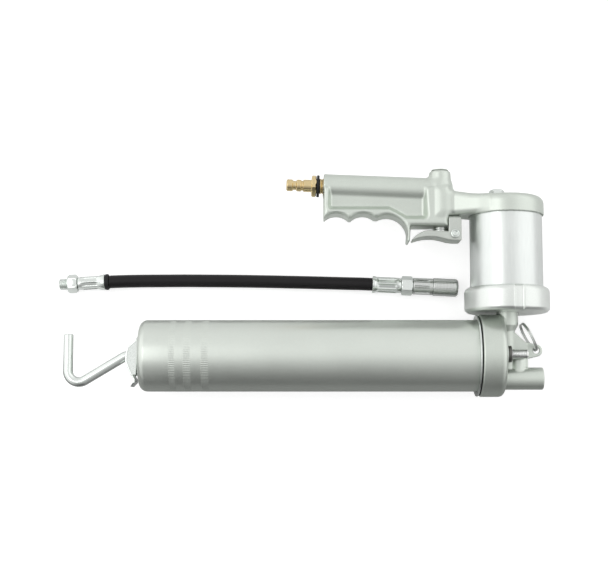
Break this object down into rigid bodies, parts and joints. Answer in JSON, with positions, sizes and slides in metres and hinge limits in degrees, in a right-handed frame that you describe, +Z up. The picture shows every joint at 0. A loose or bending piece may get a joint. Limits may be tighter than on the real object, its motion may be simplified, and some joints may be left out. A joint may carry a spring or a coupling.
{
  "type": "air grease gun",
  "caption": "Air-driven grease gun with pistol grip, upright air motor, grease barrel with hooked pull rod, and a loose delivery hose with jaw coupler.",
  "frame": {"origin": "centre of the gun's bounding box, hose left out, on the surface that it lies on", "axes": "gun lying on its side: +X along the grease barrel towards the outlet, +Y from the barrel towards the grip, +Z up from the surface"},
  "size_m": [0.4041, 0.1862, 0.069],
  "materials": {
    "cast_silver": "silver lacquer on castings, satin",
    "barrel_silver": "silver lacquer, satin",
    "cylinder_aluminium": "satin anodised",
    "brass": "turned, bright",
    "chrome": "bright plated",
    "zinc": "bright zinc plated",
    "steel": "turned steel, oiled",
    "rubber": "black, matt",
    "hose_rubber": "black, fine cloth-wrapped texture"
  },
  "bodies": {
    "frame": {"grip_casting": "cast_silver", "air_plug": "brass", "plug_seal": "rubber", "valve_cap": "cast_silver", "valve_bush": "steel", "trigger_screw": "zinc", "trigger_nut": "zinc", "motor_cylinder": "cylinder_aluminium", "cap_gasket": "rubber", "base_gasket": "rubber", "cylinder_base": "cast_silver", "oiler_plug": "zinc", "rod_seal": "rubber", "pump_head": "cast_silver", "pump_bush": "steel", "plunger_packing": "rubber", "check_retainer": "steel", "bleed_washer": "steel", "barrel_gasket": "rubber"},
    "valve": {"valve_stem": "steel", "valve_disc": "rubber", "valve_spring": "steel"},
    "trigger": {"trigger": "cast_silver"},
    "piston": {"air_piston": "cast_silver", "piston_seal": "rubber", "plunger": "steel", "piston_nut": "steel", "return_spring": "steel"},
    "check": {"check_ball": "steel", "check_spring": "steel"},
    "bleed": {"bleed_screw": "chrome"},
    "ring": {"split_ring": "steel"},
    "barrel": {"barrel_tube": "barrel_silver", "barrel_collar": "zinc", "rod_bush": "steel"},
    "lock": {"rod_lock_plate": "zinc"},
    "rod": {"pull_rod": "zinc", "rod_nut": "zinc"},
    "follower": {"follower_plate": "zinc", "follower_seal": "rubber", "follower_washer": "zinc", "follower_spring": "steel"},
    "hose": {"hose_tube": "hose_rubber", "hose_ring": "rubber", "inlet_ferrule": "zinc", "hose_nipple": "zinc", "outlet_ferrule": "zinc", "outlet_nut": "zinc", "coupler_body": "steel", "coupler_sleeve": "steel", "coupler_jaws": "steel"},
    "coupler_face": {"coupler_seal": "rubber", "coupler_piston": "steel", "coupler_spring": "steel"}
  },
  "joints": [
    {"name": "trigger_pull", "type": "hinge", "parent": "frame", "child": "trigger", "pos_m": [0.12035, 0.03865, 0.0345], "axis": [0, 0, -1], "range_deg": [0, 8], "stiffness_Nm_per_rad": 1.5, "springref_deg": -8.59},
    {"name": "valve_lift", "type": "slide", "parent": "frame", "child": "valve", "axis": [0, 1, 0], "range_m": [0, 0.002], "deforming": ["valve_spring"]},
    {"name": "piston_stroke", "type": "slide", "parent": "frame", "child": "piston", "axis": [0, -1, 0], "range_m": [0, 0.03], "stiffness_N_per_m": 800, "springref_m": -0.02, "deforming": ["return_spring"]},
    {"name": "check_lift", "type": "slide", "parent": "frame", "child": "check", "axis": [1, 0, 0], "range_m": [0, 0.0015], "stiffness_N_per_m": 200, "springref_m": -0.001, "deforming": ["check_spring"]},
    {"name": "bleed_turn", "type": "hinge", "parent": "frame", "child": "bleed", "pos_m": [0.16285, -0.05935, 0.0482], "axis": [1, 0, 0], "range_deg": [0, 360]},
    {"name": "ring_swing", "type": "hinge", "parent": "frame", "child": "ring", "pos_m": [0.18575, -0.05565, 0.0345], "axis": [0, 0, 1], "range_deg": [-100, 2]},
    {"name": "barrel_unscrew", "type": "hinge", "parent": "frame", "child": "barrel", "pos_m": [0.01285, -0.05985, 0.0345], "axis": [-1, 0, 0], "range_deg": [0, 360]},
    {"name": "lock_tilt", "type": "hinge", "parent": "barrel", "child": "lock", "pos_m": [-0.13645, -0.04785, 0.0345], "axis": [0, 0, 1], "range_deg": [0, 2.5], "stiffness_Nm_per_rad": 1, "springref_deg": -5.73},
    {"name": "rod_pull", "type": "slide", "parent": "barrel", "child": "rod", "axis": [-1, 0, 0], "range_m": [0, 0.2]},
    {"name": "follower_travel", "type": "slide", "parent": "barrel", "child": "follower", "axis": [-1, 0, 0], "range_m": [0, 0.2], "deforming": ["follower_spring"]},
    {"name": "hose_lift", "type": "slide", "parent": "frame", "child": "hose", "axis": [0, 0, 1], "range_m": [0, 0.08]},
    {"name": "coupler_face_press", "type": "slide", "parent": "hose", "child": "coupler_face", "axis": [-0.999, 0.0436, 0], "range_m": [0, 0.001], "stiffness_N_per_m": 2000, "springref_m": -0.001, "deforming": ["coupler_spring"]}
  ],
  "couplings": [
    {"joint": "valve_lift", "follows": "trigger_pull", "m_per_rad": 0.0136},
    {"joint": "follower_travel", "follows": "rod_pull", "ratio": 1}
  ]
}
